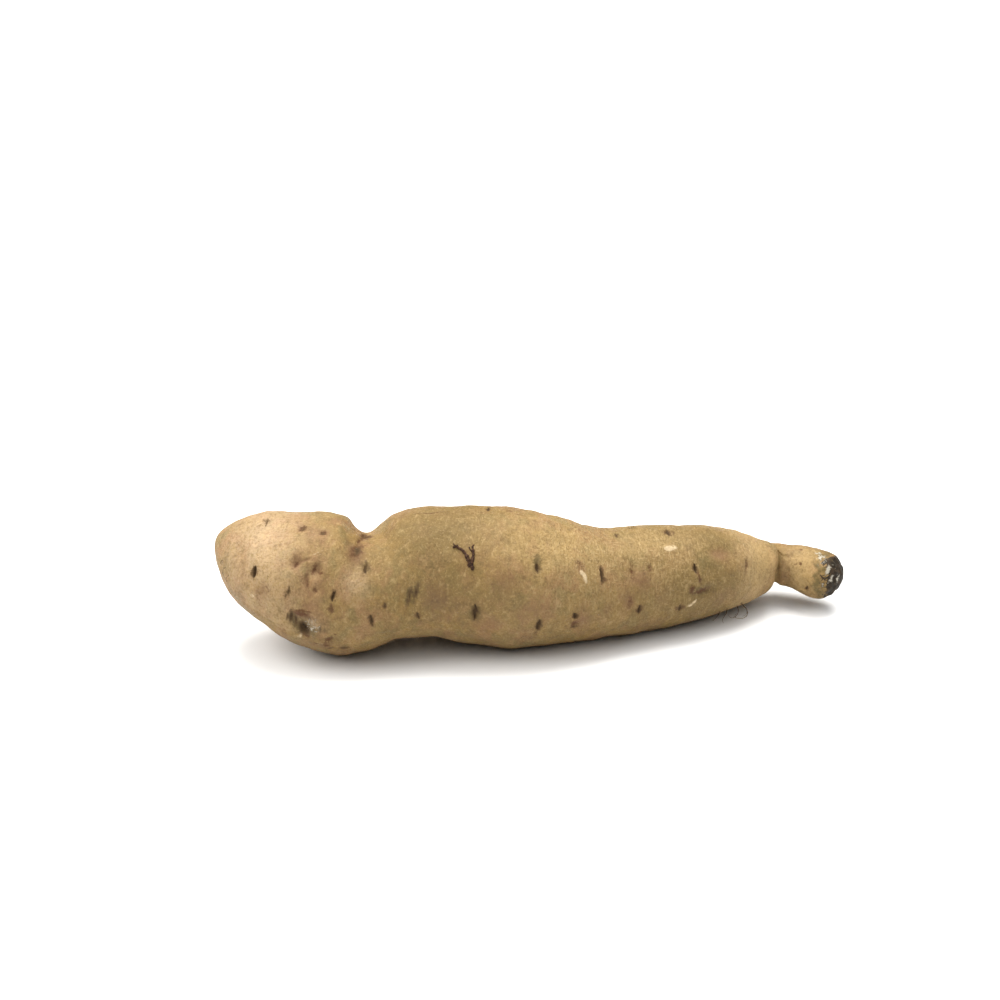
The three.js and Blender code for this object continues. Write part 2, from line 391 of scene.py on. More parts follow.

# %% [markdown]
# Bruises, scuffs and stains have no sharp shape: they are soft patches of another colour. Each
# row gives a patch's place, how far it reaches along and round the root, how it leans and how
# strong it is. The umber patches are a deeper tan, and on the body's top and front and under the
# knob they are also painted shade. The bloom patches are paler, drier skin and the straw ones a
# brighter yellow; on the lobe's top, the shoulder and the knob both are also painted light. The
# blush patches are pinkish brown bruises and the rust ones brown stains; in the lobe's valley,
# the waist fold and the crease at the knob's neck both also paint the crease's shade. Moss is an
# olive stain, dirt a grey one, peel bare skin where the outer film came off, scuff a web of fine
# pale scratches, cork dark dry cork, stub charred black, and mould whitish crumbs.

# %% The stains
# each row: x, around, reach along, reach round, lean, strength
STAINS = {
    "umber": [
        # painted shade as well as a deeper tan: the rows on the body's top and front, its right side and
        # under the knob darken it as shade would
        (-36, 20, 26, 24, 0, 1.0),
        (-36, 84, 26, 13, 0, 0.7),
        (-88, 92, 18, 10, 0, 0.3),
        (20, 96, 40, 10, 0, 0.5),
        (34, 80, 26, 9, 0, 0.4),
        (-30, 350, 24, 10, 0, 0.7),
        (59, 82, 29, 22, 0, 1.0),
        (56, 12, 34, 14, 0, 1.0),
        (-40, 270, 30, 14, 0, 0.6),
        (40, 262, 26, 12, 0, 0.5),
        (106, 8, 9, 9, 0, 0.7),
        (112, 106, 8, 6, 0, 0.9),
    ],
    "bloom": [
        # the rows on the lobe's top, the shoulder and the knob are painted light as well as paler skin
        (-104, 28, 14, 25, 0, 0.9),
        (-86.6, 98, 2.6, 3.4, 0, 0.9),
        (-114, 50, 7, 14, 0, 0.7),
        (-70, 60, 5, 6, 0, 0.6),
        (87, 58, 8, 16, 0, 0.5),
        (104, 66, 5, 8, 0, 0.5),
        (-84.4, 63, 0.9, 1.2, 0, 0.7),
        (-104, 320, 10, 12, 0, 0.8),
        (70, 310, 12, 8, 0, 0.6),
        (-60, 300, 14, 12, 0, 0.6),
    ],
    "straw": [
        (4, 30, 22, 13, 0, 0.7),
        (44, 26, 20, 12, 0, 0.45),
        # this row and the next, on the shoulder and the knob's front, are painted light as well as
        # yellower skin
        (88, 62, 9, 17, 0, 1.0),
        (105, 76, 7, 11, 0, 1.0),
        (-84.6, 62.5, 1.4, 1.8, 0, 1.0),
        (-44, 296, 14, 9, 0, 0.7),
        (76, 300, 12, 12, 0, 0.7),
    ],
    "blush": [
        (-89.5, 92, 5.0, 1.6, 6, 1.0),
        (-84, 121, 7.0, 4.0, 0, 0.6),
        (-84, 53, 3.4, 4.0, 0, 0.75),
        # painted shade in the lobe's valley, as well as a bruise
        (-87.5, 60, 0.9, 6.0, 6, 0.7),
        (-91, 48, 2.8, 4.6, 10, 0.75),
        (-82, 70, 2.4, 2.6, 0, 0.6),
        (-88, 84, 4.0, 2.4, 0, 0.7),
        # painted shade over the lobe's valley band, as well as a bruise
        (-84, 62, 5.0, 16, 8, 0.58),
        (-89, 15, 2.8, 3.2, 35, 0.7),
        (-81.5, 20, 2.8, 2.2, 0, 0.7),
        (-86, 18, 8, 5, 0, 0.4),
        (-104, 84, 6, 5, 0, 0.5),
        (-112, 60, 6, 7, 0, 0.45),
        (-70, 33, 4.5, 6, 0, 0.8),
        (-41, 85, 7, 8, 0, 0.55),
        (-38, 102, 9, 4, 0, 0.45),
        (-17, 66, 9, 8, 0, 0.52),
        (-24, 106, 10, 5, 0, 0.52),
        (-30.0, 49, 3.4, 5.0, -10, 0.4),
        (-6, 92, 10, 6, 0, 0.48),
        (12, 102, 5, 6, 0, 0.6),
        (12.5, 50, 2.6, 3.0, 0, 0.6),
        (31.5, 84, 3, 5, 0, 0.6),
        (36, 64, 7, 6, 0, 0.65),
        (69, 42, 5.5, 3.4, -10, 0.72),
        (70, 96, 9, 6, 0, 0.35),
        # painted shade in the crease at the knob's neck, as well as a bruise
        (100, 92, 2.4, 5.0, 0, 0.35),
        (-95, 270, 9, 10, 0, 0.8),
        (-68, 285, 5, 9, 0, 0.8),
        (2, 306, 11, 6, 0, 0.7),
        (47, 276, 6, 4, 0, 0.8),
        (-8, 280, 10, 8, 0, 0.8),
        (66, 270, 9, 7, 0, 0.5),
        (-20, 150, 12, 6, 0, 0.4),
    ],
    "rust": [
        (-90.6, 90.5, 4.4, 1.3, 8, 1.0),
        (-80.6, 113.5, 2.6, 1.3, -30, 1.0),
        (-82, 120.5, 1.6, 1.2, 0, 1.0),
        (-85.6, 118, 1.6, 0.9, 0, 0.9),
        (-78.4, 108, 1.2, 0.9, 0, 0.8),
        (-97, 107, 1.0, 0.8, 0, 0.7),
        (-89, 111, 2.2, 1.2, 20, 1.0),
        (-93, 91, 1.6, 1.2, 0, 0.5),
        (-84.8, 52, 0.9, 2.6, 20, 1.0),
        (-82.6, 55.5, 1.5, 0.7, 0, 0.95),
        (-84.9, 68.6, 0.9, 1.0, 0, 0.9),
        (-91.2, 50, 0.8, 2.4, 30, 0.95),
        (-84, 53, 2.0, 2.2, 0, 0.35),
        (-91, 50, 1.4, 2.2, 10, 0.35),
        (-84.5, 70, 1.0, 1.2, 0, 0.7),
        (-89, 15, 1.7, 2.3, 35, 1.0),
        (-81.5, 20, 1.9, 1.2, 0, 1.0),
        (-102, 80, 1.6, 1.8, 0, 0.5),
        (-96.5, 112, 1.0, 1.2, 0, 0.8),
        (-69, 28, 2.2, 4.2, 30, 1.0),
        (-66, -4, 2.8, 3.2, 40, 1.0),
        (-75, 32, 2.0, 1.4, 0, 0.35),
        (-28.6, 55, 1.4, 2.2, 0, 0.7),
        (-12, -5, 2.0, 1.2, 0, 0.7),
        (-44.3, 52, 0.9, 0.9, 0, 0.6),
        (-47.3, 58, 1.1, 0.8, 0, 0.5),
        (-24.5, 54, 1.1, 1.0, 0, 0.6),
        (9.7, 107, 2.2, 2.4, 0, 0.95),
        (11, 48, 1.8, 2.6, 0, 0.5),
        (33, 53, 1.3, 4.5, -6, 0.7),
        (40, 52, 1.2, 4.0, 0, 0.6),
        (31.5, 86, 1.2, 3, 10, 0.65),
        (59.2, 68, 1.4, 3.6, -14, 0.8),
        (61, 83, 5.0, 1.4, -6, 0.85),
        (56.5, 80, 1.4, 2.2, 20, 0.8),
        (107, 5, 0.9, 0.9, 0, 0.8),
        (105.5, 52, 0.9, 1.0, 0, 1.0),
        (103.8, 54, 0.9, 0.7, 0, 0.8),
        (-96, 266, 2.2, 3.0, 20, 0.8),
        (-86, 288, 1.2, 1.6, 0, 0.9),
        (-70, 292, 1.4, 2.6, 14, 0.8),
        (6, 268, 1.2, 1.2, 0, 0.8),
        (47, 278, 3.4, 1.2, 12, 0.8),
        (90, 276, 1.2, 2.4, 0, 0.8),
        (21, 262, 1.8, 3.4, 0, 0.6),
        (-84, 232, 2.2, 2.8, 0, 0.7),
    ],
    "moss": [
        (-91.0, 103, 3.4, 3.8, 0, 0.75),
        (-81.5, 100, 3.0, 3.0, 0, 0.4),
        (-50.0, 82.0, 3.0, 5.6, 14, 0.55),
        (-42, 58, 9, 9, 0, 0.45),
        (-35, 32, 6, 6, 0, 0.25),
        (-27.4, 93, 2.6, 5.0, 0, 0.7),
        (-24.6, 54, 1.2, 0.9, 0, 0.8),
        (-12, 80, 6, 4, 0, 0.35),
        (62, 50, 5, 5, 0, 0.6),
        (-26, 285, 4.0, 5.0, 0, 0.7),
        (33, 290, 7, 7, 0, 0.4),
    ],
    "dirt": [
        (-88.0, 101, 7.0, 8.0, 10, 0.55),
        (-93.2, 96.5, 2.4, 3.6, 12, 0.9),
        (-88.6, 103, 3.6, 4.4, -14, 1.0),
        (-88, 108, 2.4, 1.4, -30, 0.8),
        (-85.6, 103, 0.5, 2.0, 4, 0.9),
        (-83.6, 102.5, 0.5, 2.2, 0, 0.9),
        (-81.6, 103.5, 0.6, 1.6, -10, 0.7),
        (-51.2, 82.5, 0.9, 4.6, 14, 1.0),
        (-48.4, 80, 0.9, 4.4, 14, 1.0),
        (-41, 86, 7, 7, 0, 0.35),
        (60, 84, 7.0, 3.6, 0, 0.6),
        (-57, 268, 3.0, 9, 8, 0.8),
        (60, 246, 6, 5, 0, 0.8),
        (-30, 250, 9, 8, 0, 0.5),
        (-72, 180, 14, 9, 0, 0.5),
        (20, 180, 40, 9, 0, 0.5),
    ],
    "peel": [
        (-91.0, 112.5, 1.6, 1.1, -30, 0.8),
        (-83.8, 116.5, 1.6, 0.9, 0, 0.5),
        (-82.6, 51, 0.5, 1.4, -10, 0.4),
        (-107.5, 92, 1.6, 1.0, 10, 0.7),
        (9.8, 107, 0.7, 0.8, 0, 0.45),
        (48.4, 34, 2.8, 1.3, -8, 0.95),
        (51.0, 33, 1.5, 1.2, 20, 0.8),
        (4, 262, 3.2, 1.6, 12, 0.9),
    ],
    "scuff": [
        (18, 32, 24, 17, 0, 1.0),
        (45, 40, 22, 16, 0, 0.85),
        (84, 55, 10, 14, 0, 0.8),
        (-100, 40, 12, 16, 0, 0.5),
        (-20, 5, 22, 7, 0, 0.6),
        (40, 300, 22, 14, 0, 0.6),
    ],
    "cork": [
        (-93.9, 95.5, 0.7, 3.0, 14, 0.7),
        (-92.4, 98, 0.6, 2.6, 6, 0.62),
        (-95.2, 97, 0.5, 2.2, 20, 0.4),
        (-89.4, 104.5, 1.8, 2.5, -24, 1.0),
        (-80.4, 126, 1.0, 0.9, 0, 0.6),
        (-75.4, 128, 1.8, 0.9, 0, 0.6),
        (-88.6, 14.5, 1.0, 1.7, 40, 0.4),
        (-81.7, 20, 1.2, 0.8, 0, 0.38),
        (-69, 28, 1.3, 2.4, 30, 0.45),
        (-66, -4, 1.3, 1.3, 40, 0.5),
        (-51.0, 84, 0.7, 3.6, 14, 0.5),
        (-48.4, 80, 0.6, 3.4, 14, 0.5),
        (9.9, 111, 1.4, 0.7, 0, 0.5),
    ],
    "stub": [
        (-89.5, 104.6, 1.1, 1.5, -24, 0.8),
    ],
    "mould": [
        (-86.4, 101, 3.2, 3.8, 0, 0.62),
    ],
}
print("stains to lay:", sum(len(rows) for rows in STAINS.values()))

# %% [markdown]
# Some of the patches are also felt: old bruises are dents, and healed scars are bumps. They are
# too small for the solid, and bump in a material would not show in their outline or shadow.

# %% Dents and healed bumps
RELIEF_GAIN = 2.0
# x, around, reach along, reach round, lean, height
RELIEF = [
    (95.5, 18, 2.6, 7.0, 0, 0.9),
    (-87.3, 58, 2.0, 9, 8, -0.7),
    (-84, 53, 1.9, 2.1, 0, -0.9),
    (-80.8, 54, 1.4, 3.2, 0, 0.6),
    (-91, 49, 2.0, 2.8, 10, -0.9),
    (-84.6, 62.5, 1.8, 2.0, 0, 0.45),
    (-84.5, 69, 1.2, 1.3, 0, -0.4),
    (-83.4, 74, 1.6, 1.6, 0, 0.5),
    (-112, 47, 2.6, 4.0, 20, -0.6),
    (-103.5, 80, 2.4, 3.0, 0, -0.5),
    (-106.5, 86, 1.6, 1.4, 0, 0.4),
    (-93.2, 97, 1.5, 2.8, 10, -0.5),
    (-89.6, 105, 1.6, 2.6, -24, -1.0),
    (-86.6, 98, 2.2, 2.6, 0, 0.35),
    (-91.4, 91, 3.0, 1.8, 0, 0.3),
    (-87, 109, 1.8, 1.5, 0, 0.25),
    (-91.6, 113, 1.6, 1.5, 0, 0.3),
    (-83.8, 116.5, 1.9, 1.5, 0, 0.3),
    (-80.6, 114, 1.6, 1.1, -30, -0.5),
    (-77, 106, 2.0, 1.6, 0, 0.35),
    (-71.5, 98, 1.8, 1.3, 0, 0.4),
    (-61, 106, 2.2, 1.5, 0, 0.45),
    (-89, 14, 1.6, 1.8, 30, -0.5),
    (-81.5, 20, 1.5, 1.2, 0, -0.5),
    (-49.5, 81, 2.4, 4.2, 16, -0.5),
    (-28.5, 55, 3.0, 2.0, 0, 0.4),
    (-8, 92, 9, 5, 0, 0.3),
    (9.8, 107, 1.6, 1.8, 0, -0.5),
    (10.2, 103, 2.6, 2.0, 0, 0.3),
    (33, 53, 1.4, 4.0, 0, -0.35),
    (40, 52, 1.2, 3.4, 0, -0.3),
    (36.4, 60, 1.8, 4.6, 0, 0.3),
    (48, 34, 3.4, 2.0, 0, 0.3),
    (58.5, 68, 1.8, 2.0, 0, 0.4),
    (62, 83, 5.0, 1.5, -6, -0.45),
    (62, 79, 5.0, 1.6, -6, 0.3),
    (69, 41, 6.0, 3.4, 0, -0.5),
    (72, 60, 6.0, 5.0, 0, 0.4),
    (79, 44, 2.0, 9.0, 0, 0.3),
    (82, 58, 1.6, 10.0, 0, 0.3),
    (-95, 268, 6, 7, 0, -0.6),
    (-84, 232, 2.0, 2.4, 0, -0.6),
    (-30, 262, 9, 6, 0, 0.5),
    (-8, 282, 5, 4, 0, -0.5),
    (22, 300, 10, 5, 0, 0.4),
    (48, 274, 4, 3, 0, -0.5),
    (66, 286, 6, 5, 0, 0.4),
]
print("dents and bumps:", len(RELIEF))

# %% [markdown]
# Creases, scratches and curled strips of dry skin follow a line. A trail is a few places on the
# skin joined up, with a width, a height (below 0 it cuts in) and the stain it carries. In a few
# creases that stain is also painted shade.

# %% The trails
# places, width, height, stain, strength
TRAILS = [
    # these two also paint the shade of the waist fold, as well as a bruise and rust
    ([(-65.5, -14), (-68, 14), (-69.5, 30), (-71, 45), (-72, 58)], 2.4, -0.5, "blush", 0.5),
    ([(-65.5, -20), (-66.5, -4), (-68.6, 14), (-69.2, 26)], 0.9, -0.5, "rust", 0.8),
    # painted shade in the crease at the knob's neck, as well as rust
    ([(96.2, 62), (96.6, 75), (97.2, 88), (97.8, 100)], 0.7, -0.3, "rust", 0.7),
    ([(-86.4, 42), (-84.4, 40), (-82.6, 38), (-80.2, 36)], 0.4, 0.15, "peel", 0.6),
    ([(-85, 43.5), (-83, 41), (-81, 39)], 0.35, 0.1, "peel", 0.5),
    # painted shade along the lobe's valley, as well as rust
    ([(-86.4, 54), (-87.4, 60), (-87.4, 68), (-86.4, 76)], 0.6, -0.5, "rust", 0.5),
    ([(-91.4, 53), (-89.6, 48), (-87.4, 45), (-85.2, 44)], 0.7, -0.4, "blush", 0.8),
    ([(54.2, 102), (55.8, 99), (57.6, 95), (58.8, 91)], 0.9, 0.2, "peel", 0.75),
    ([(12.2, 51), (12.3, 55), (13.4, 59), (13.8, 63), (14.0, 67)], 1.05, 0.35, "peel", 1.0),
    ([(-50, -2), (-46, -3), (-42, -1), (-37, -3), (-33, -5)], 0.5, 0.35, "rust", 0.8),
    ([(-42, 3), (-38, 4), (-34, 2), (-30, 3)], 0.45, 0.25, "rust", 0.6),
    ([(-14, -2), (-10, 1), (-5, 1)], 0.4, 0.2, "rust", 0.6),
    ([(4, 2), (9, 5), (14, 6), (20, 10)], 0.4, 0.2, "rust", 0.55),
    ([(8, 10), (14, 13), (19, 17), (25, 20)], 0.35, 0.15, "peel", 0.35),
    ([(13, 5), (20, 8), (26, 13), (32, 15)], 0.35, 0.15, "peel", 0.35),
    ([(-6, 8), (-2, 7), (3, 9), (7, 8)], 0.5, 0.3, "peel", 0.4),
    ([(-95.5, 94), (-93.5, 90), (-90.5, 88), (-87, 87.5), (-84.6, 90)], 0.9, 0.35, "rust", 0.7),
    ([(-95, 98), (-94, 101), (-92, 104)], 1.0, -0.5, "dirt", 0.9),
    ([(-86, 93), (-84.6, 99), (-85.4, 105)], 1.1, 0.25, "peel", 0.45),
    ([(91.5, 20), (92.4, 40), (93, 60), (93, 80)], 0.5, -0.12, "rust", 0.25),
    ([(-60, 262), (-61, 280), (-62, 300), (-63, 320)], 1.6, -0.5, "rust", 0.8),
    ([(26, 262), (32, 266), (39, 265), (45, 268)], 0.5, 0.2, "rust", 0.6),
    ([(-34, 296), (-31, 291), (-29, 285)], 0.5, 0.2, "peel", 0.6),
    ([(70, 250), (73, 256), (75, 263)], 0.5, 0.2, "peel", 0.7),
]
print("trails to draw:", len(TRAILS))

# %% [markdown]
# Cutting a groove 1 mm wide needs faces smaller than that, but faces that small all over would
# be far too many. So only the faces near an eye or a trail are split once more.

# %% Finer faces where the marks are
FINE_MARGIN = 1.2
TRAIL_STEP = 2.0


def mark_centres():
    """The places that need fine faces, each with its reach in millimetres."""
    found = [(spot(x, around)[0], long / 2 + FINE_MARGIN) for x, around, long, *_ in EYES]
    for places, width, *_ in TRAILS:
        ends = [spot(*place)[0] for place in places]
        for start, end in zip(ends, ends[1:]):
            steps = max(int((end - start).length / TRAIL_STEP), 1)
            for step in range(steps + 1):
                found.append((start.lerp(end, step / steps), width + FINE_MARGIN))
    return found


def split_near(mesh, places):
    """The mesh with the faces near these places split in four."""
    middles = np.empty(len(mesh.polygons) * 3)
    mesh.polygons.foreach_get("center", middles)
    middles = middles.reshape(-1, 3) / MM
    near = np.zeros(len(middles), bool)
    for place, reach in places:
        near |= np.linalg.norm(middles - np.array(place), axis=1) < reach
    work = bmesh.new()
    work.from_mesh(mesh)
    work.faces.ensure_lookup_table()
    edges = {edge for index in np.flatnonzero(near) for edge in work.faces[index].edges}
    bmesh.ops.subdivide_edges(work, edges=list(edges), cuts=1, use_grid_fill=True)
    made = bpy.data.meshes.new("skin")
    work.to_mesh(made)
    work.free()
    return made


skin_mesh = split_near(smooth_skin, mark_centres())
rest = points_of(skin_mesh)
outward = np.empty(len(rest) * 3)
skin_mesh.vertex_normals.foreach_get("vector", outward)
outward = outward.reshape(-1, 3)
lift = np.zeros(len(rest))
stain = {name: np.zeros(len(rest)) for name in STAINS}
skin_triangles = sum(len(face.vertices) - 2 for face in skin_mesh.polygons)
print("skin: points", len(rest), "triangles", skin_triangles)

# %% [markdown]
# Each mark works in its own small frame on the skin: one way across it, one way down it. The
# marks only add to a list of heights and stains, and the skin is moved once, at the end, so no
# mark is bent by another.

# %% Laying the marks
SAME_SIDE = 0.2
WOBBLE_SIZE = 1.4
SEED_SHIFT = np.array((7.3, 3.1, 5.7))


def noise_over(points, size, seed):
    """Smooth noise from -1 to 1 at each point, for a feature size in millimetres."""
    placed = points / np.array(size) + seed * SEED_SHIFT
    return np.array([noise.noise(Vector(point)) for point in placed])


def lay_out(x, around, lean, reach):
    """The skin's points near a place, with how far each is across and down, in millimetres."""
    point, normal = spot(x, around)
    along = (Vector((1, 0, 0)) - normal * normal.x).normalized()
    down = along.cross(normal)
    turn = math.radians(lean)
    across = np.array(along * math.cos(turn) + down * math.sin(turn))
    lengthwise = np.array(down * math.cos(turn) - along * math.sin(turn))
    offset = rest - np.array(point)
    close = np.linalg.norm(offset, axis=1) < reach
    near = np.flatnonzero(close & (outward @ np.array(normal) > SAME_SIDE))
    return near, offset[near] @ across, offset[near] @ lengthwise


def fade(across, down, along, round_):
    """1 in the middle of a patch, fading out over its two reaches."""
    return np.exp(-((across / along) ** 2) - (down / round_) ** 2)


def stain_with(name, near, amount):
    """Lays a stain. Where two patches of one stain meet, the stronger one counts."""
    stain[name][near] = np.maximum(stain[name][near], amount)


wobble = noise_over(rest, WOBBLE_SIZE, seed=5)
print("wobble from", round(wobble.min(), 2), "to", round(wobble.max(), 2))

# %% [markdown]
# An eye is a groove whose width shrinks to nothing at both ends, like a lens seen from the side.
# Noise shifts its outline a little, so that no two come out alike. The groove's depth, its lips
# and its colours are all worked out from the same outline, so they can't slip apart.

# %% How an eye is cut
EYE_REACH = 1.2
EYE_WIDTH = 1.35
EYE_WOBBLE = 0.14
EYE_POINT = 0.02
GROOVE_SHAPE = 0.7
LIP_WIDTH = 0.5
LIP_HEIGHT = 0.22
# shares of the eye's width and length that a stained border and a corky halo reach
BORDER_REACH = (0.95, 0.6)
HALO_REACH = (0.55, 0.48)
HALO_CORK = 0.5
BORDER_RUST = 0.8
BORDER_BLUSH = 0.5


def cut_eye(x, around, long, wide, lean, depth, cork, rust, moss):
    """A lens-shaped groove with raised lips, cork inside and a stained border."""
    near, across, down = lay_out(x, around, lean, long * EYE_REACH)
    wide = wide * EYE_WIDTH
    across = across + EYE_WOBBLE * wobble[near] * wide
    down = down + EYE_WOBBLE * 2 * wobble[near]
    length_share = down / (long / 2)
    half_width = np.maximum(wide / 2 * (1 - length_share**2), EYE_POINT)
    inside = 1 - np.abs(across) / half_width
    groove = np.clip(inside, 0, 1) * (np.abs(length_share) < 1)
    lip = np.exp(-(((np.abs(across) - half_width) / LIP_WIDTH) ** 2)) * np.exp(-(length_share**4))
    lift[near] += lip * LIP_HEIGHT * depth - depth * groove**GROOVE_SHAPE
    border = fade(across, down, wide * BORDER_REACH[0], long * BORDER_REACH[1])
    halo = fade(across, down, wide * HALO_REACH[0], long * HALO_REACH[1])
    stain_with("cork", near, np.maximum(groove, HALO_CORK * halo) * cork)
    stain_with("rust", near, border * rust * BORDER_RUST)
    stain_with("moss", near, border * moss)
    stain_with("blush", near, border * BORDER_BLUSH)


for eye in EYES:
    cut_eye(*eye)
print("deepest eye, mm:", round(lift.min(), 2))

# %% [markdown]
# A patch and a bump fade out the same way: one feeds the list of stains, the other the list of
# heights. A trail is found by measuring how far each point is from the line, and it thins out
# towards its two ends, as a scratch does.

# %% How patches, bumps and trails are laid
PATCH_REACH = 2.2
BUMP_REACH = 2.4
TRAIL_REACH = 3
TRAIL_ENDS = (0.06, 0.94)


def lay_stain(name, x, around, along, round_, lean, strength):
    """A soft patch of a stain."""
    near, across, down = lay_out(x, around, lean, PATCH_REACH * max(along, round_))
    stain_with(name, near, strength * fade(across, down, along, round_))


def raise_bump(x, around, along, round_, lean, height):
    """A soft bump, or a dent where the height is below 0."""
    near, across, down = lay_out(x, around, lean, BUMP_REACH * max(along, round_))
    lift[near] += RELIEF_GAIN * height * fade(across, down, along, round_)


def draw_trail(places, width, height, name, strength):
    """A groove or a ridge along a line of places, thinner towards its ends."""
    ends = [np.array(spot(*place)[0]) for place in places]
    lengths = [np.linalg.norm(end - start) for start, end in zip(ends, ends[1:])]
    gap = np.full(len(rest), np.inf)
    travelled = np.zeros(len(rest))
    for number, (start, end) in enumerate(zip(ends, ends[1:])):
        way = end - start
        share = np.clip((rest - start) @ way / (way @ way), 0, 1)
        distance = np.linalg.norm(rest - start - share[:, None] * way, axis=1)
        nearer = distance < gap
        gap[nearer] = distance[nearer]
        travelled[nearer] = sum(lengths[:number]) + share[nearer] * lengths[number]
    near = np.flatnonzero(gap < TRAIL_REACH * width)
    taper = np.sin(np.pi * np.clip(travelled[near] / sum(lengths), *TRAIL_ENDS)) ** 0.5
    profile = np.exp(-((gap[near] / (width * taper)) ** 2)) * taper
    lift[near] += height * profile
    stain_with(name, near, strength * profile)


for bump in RELIEF:
    raise_bump(*bump)
for name, rows in STAINS.items():
    for row in rows:
        lay_stain(name, *row)
for trail in TRAILS:
    draw_trail(*trail)
print("deepest cut and highest ridge, mm:", round(lift.min(), 2), round(lift.max(), 2))

# %% [markdown]
# The tail was torn off long ago, and its end healed into a black, cracked cap with plaques of
# pale mould on it and an olive rim. The cap is what lies past a slanting plane, so how deep a
# point is behind the tip tells how black it is, and noise makes the border uneven. The crown,
# where the vine was, has a small corky scar. Both feed the stain called "stub", which the next
# cell also makes lumpy.

# %% The torn tail and the stem scar
TAIL_START = 104
TEAR_WAY = np.array(Vector((0.8, -0.58, 0.1)).normalized())
TEAR_DEPTH = 5.6
TEAR_BORDER = 4.5
TEAR_RAGGED = 2.2
TEAR_GRAIN = 3.2
RIM_BEYOND = 1.8
RIM_MOSS = 0.75

on_tail = np.flatnonzero(rest[:, 0] > TAIL_START)
behind_tip = (rest[on_tail] @ TEAR_WAY).max() - rest[on_tail] @ TEAR_WAY
behind_tip += TEAR_RAGGED * noise_over(rest[on_tail], TEAR_GRAIN, seed=6)
stain_with("stub", on_tail, np.clip((TEAR_DEPTH - behind_tip) / TEAR_BORDER + 0.5, 0, 1))
rim = np.exp(-(((behind_tip - TEAR_DEPTH - RIM_BEYOND) / RIM_BEYOND) ** 2))
stain_with("moss", on_tail, RIM_MOSS * rim)

# x, around, reach along, reach round, lean, strength
STEM_SCAR = (-119.5, 262, 3.4, 3.0, 0, 0.9)
MOULD = [
    (113.4, 24, 2.2, 3.8, -20, 0.8),
    (112.2, 42, 1.4, 3.2, -10, 0.6),
    (115.2, 57, 1.2, 3.2, 32, 1.0),
    (116.4, 78, 1.3, 2.8, 28, 0.85),
    (119.4, 74, 1.0, 2.6, 24, 0.85),
    (118.6, 48, 0.7, 1.6, 20, 0.6),
    (113.0, 92, 1.8, 3.0, 0, 0.5),
    (121.5, 300, 1.4, 2.6, 30, 0.8),
    (120.5, 235, 1.2, 3.0, -20, 0.8),
    (-116.4, 252, 1.6, 3.0, 20, 0.7),
]
lay_stain("stub", *STEM_SCAR)
for patch in MOULD:
    lay_stain("mould", *patch)
print("points on a stub:", int((stain["stub"] > 0.3).sum()))

# %% [markdown]
# No part of a root is smooth. Gentle swellings about a centimetre across, and fine wrinkles
# that run round it, catch the light everywhere. Both come from noise read at each point; the
# wrinkles use noise squeezed along x, so that it comes out long the other way. They are real
# shape, so they show in the outline too. The underside is kept from sinking into the sheet, and
# bumps that would pass the solid's box are squeezed back rather than cut flat.

# %% Lumps and wrinkles
LUMP_SIZE = 11.0
LUMP_HEIGHT = 0.7
WRINKLE_SIZE = (2.4, 9.0, 9.0)
WRINKLE_HEIGHT = 0.16
NUB_SIZE = 5.0
NUB_HEIGHT = 0.3
STUB_SIZE = 2.2
STUB_HEIGHT = 0.5
BOX_MARGIN = 1.2


def kept_inside(points, low, high):
    """The points with their last reach squeezed, so that no bump passes the solid's box."""
    room = np.minimum(points - low, high - points)
    squeezed = np.where(room < BOX_MARGIN, BOX_MARGIN * np.exp(room / BOX_MARGIN - 1), room)
    return np.where(points - low < high - points, low + squeezed, high - squeezed)


lift += LUMP_HEIGHT * noise_over(rest, LUMP_SIZE, seed=1)
lift += WRINKLE_HEIGHT * noise_over(rest, WRINKLE_SIZE, seed=2)
lift += NUB_HEIGHT * noise_over(rest, NUB_SIZE, seed=3)
lift += STUB_HEIGHT * stain["stub"] * noise_over(rest, STUB_SIZE, seed=4)
moved = rest + outward * lift[:, None]
lowest, highest = np.array(SOLID_BOX) / MM
# the sheet flattens the underside, so the squeeze starts well below it and leaves it alone
below_sheet = lowest - np.array((0, 0, LUMP_SIZE))
moved = kept_inside(moved, below_sheet, highest)
moved[:, 2] = np.maximum(moved[:, 2], 0)
skin_mesh.vertices.foreach_set("co", (moved * MM).ravel())
for name, amount in stain.items():
    layer = skin_mesh.attributes.new(name, "FLOAT", "POINT")
    layer.data.foreach_set("value", np.clip(amount, 0, 1))
skin_mesh.shade_smooth()
skin_mesh.update()
print("skin size, mm:", [round(value, 1) for value in moved.max(axis=0) - moved.min(axis=0)])

# %% [markdown]
# The finishes share two effects, the fine grain and the dust of dried soil. Each is made once, as
# a node group, and placed in every finish with its own values. A group's inputs and outputs have
# names, so that a finish can be read without looking inside.

# %% How a node group is made
def new_group(name, inputs, outputs):
    """An empty node group. inputs are (name, default value) and outputs are names of values."""
    group = bpy.data.node_groups.new(name, "ShaderNodeTree")
    for label, value in inputs:
        socket = group.interface.new_socket(label, in_out="INPUT", socket_type="NodeSocketFloat")
        socket.default_value = value
    for label in outputs:
        group.interface.new_socket(label, in_out="OUTPUT", socket_type="NodeSocketFloat")
    return group


print("group maker ready:", new_group.__name__)

# %% [markdown]
# "fibre_grain" is the cross grain of dry skin and root. Its streaks run round the root, its flecks
# are smaller than a millimetre, and its threads are scratches that run in three directions. A
# wave texture gives lines that are too regular; noise stretched one way looks like fibre.

